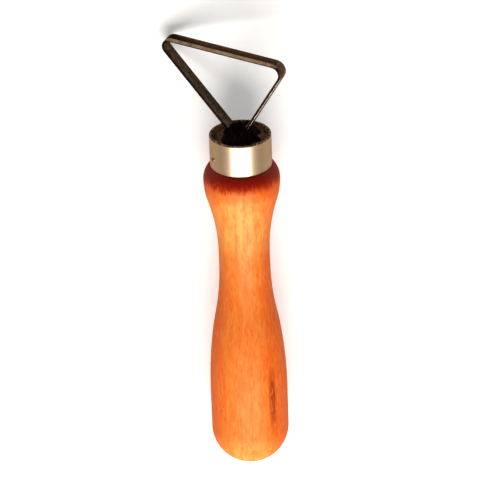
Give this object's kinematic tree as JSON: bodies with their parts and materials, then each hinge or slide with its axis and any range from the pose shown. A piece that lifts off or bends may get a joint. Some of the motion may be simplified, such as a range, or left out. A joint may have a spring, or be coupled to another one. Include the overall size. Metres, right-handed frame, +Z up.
{
  "type": "lino cutter",
  "caption": "Triangular loop cutter of flat ground steel strip, set with pitch in a turned wooden handle that has a plated ferrule.",
  "frame": {"origin": "middle of the underside of the tool's box, on the bench that it lies on", "axes": "+X along the tool's axis from butt to loop, +Z up from the bench, +Y towards the loop's long corner"},
  "size_m": [0.1628, 0.0434, 0.0274],
  "materials": {
    "beech": "stained and lacquered beech, semi-gloss",
    "nickel": "polished nickel plate, lightly rubbed",
    "spring_steel": "tempered dark, satin, bright on the ground edge",
    "pitch": "rough black pitch",
    "brad_steel": "dull wire"
  },
  "bodies": {
    "root": {"handle": "beech", "ferrule": "nickel", "cutter_loop": "spring_steel", "socket_pitch": "pitch", "ferrule_brad": "brad_steel"}
  },
  "joints": []
}
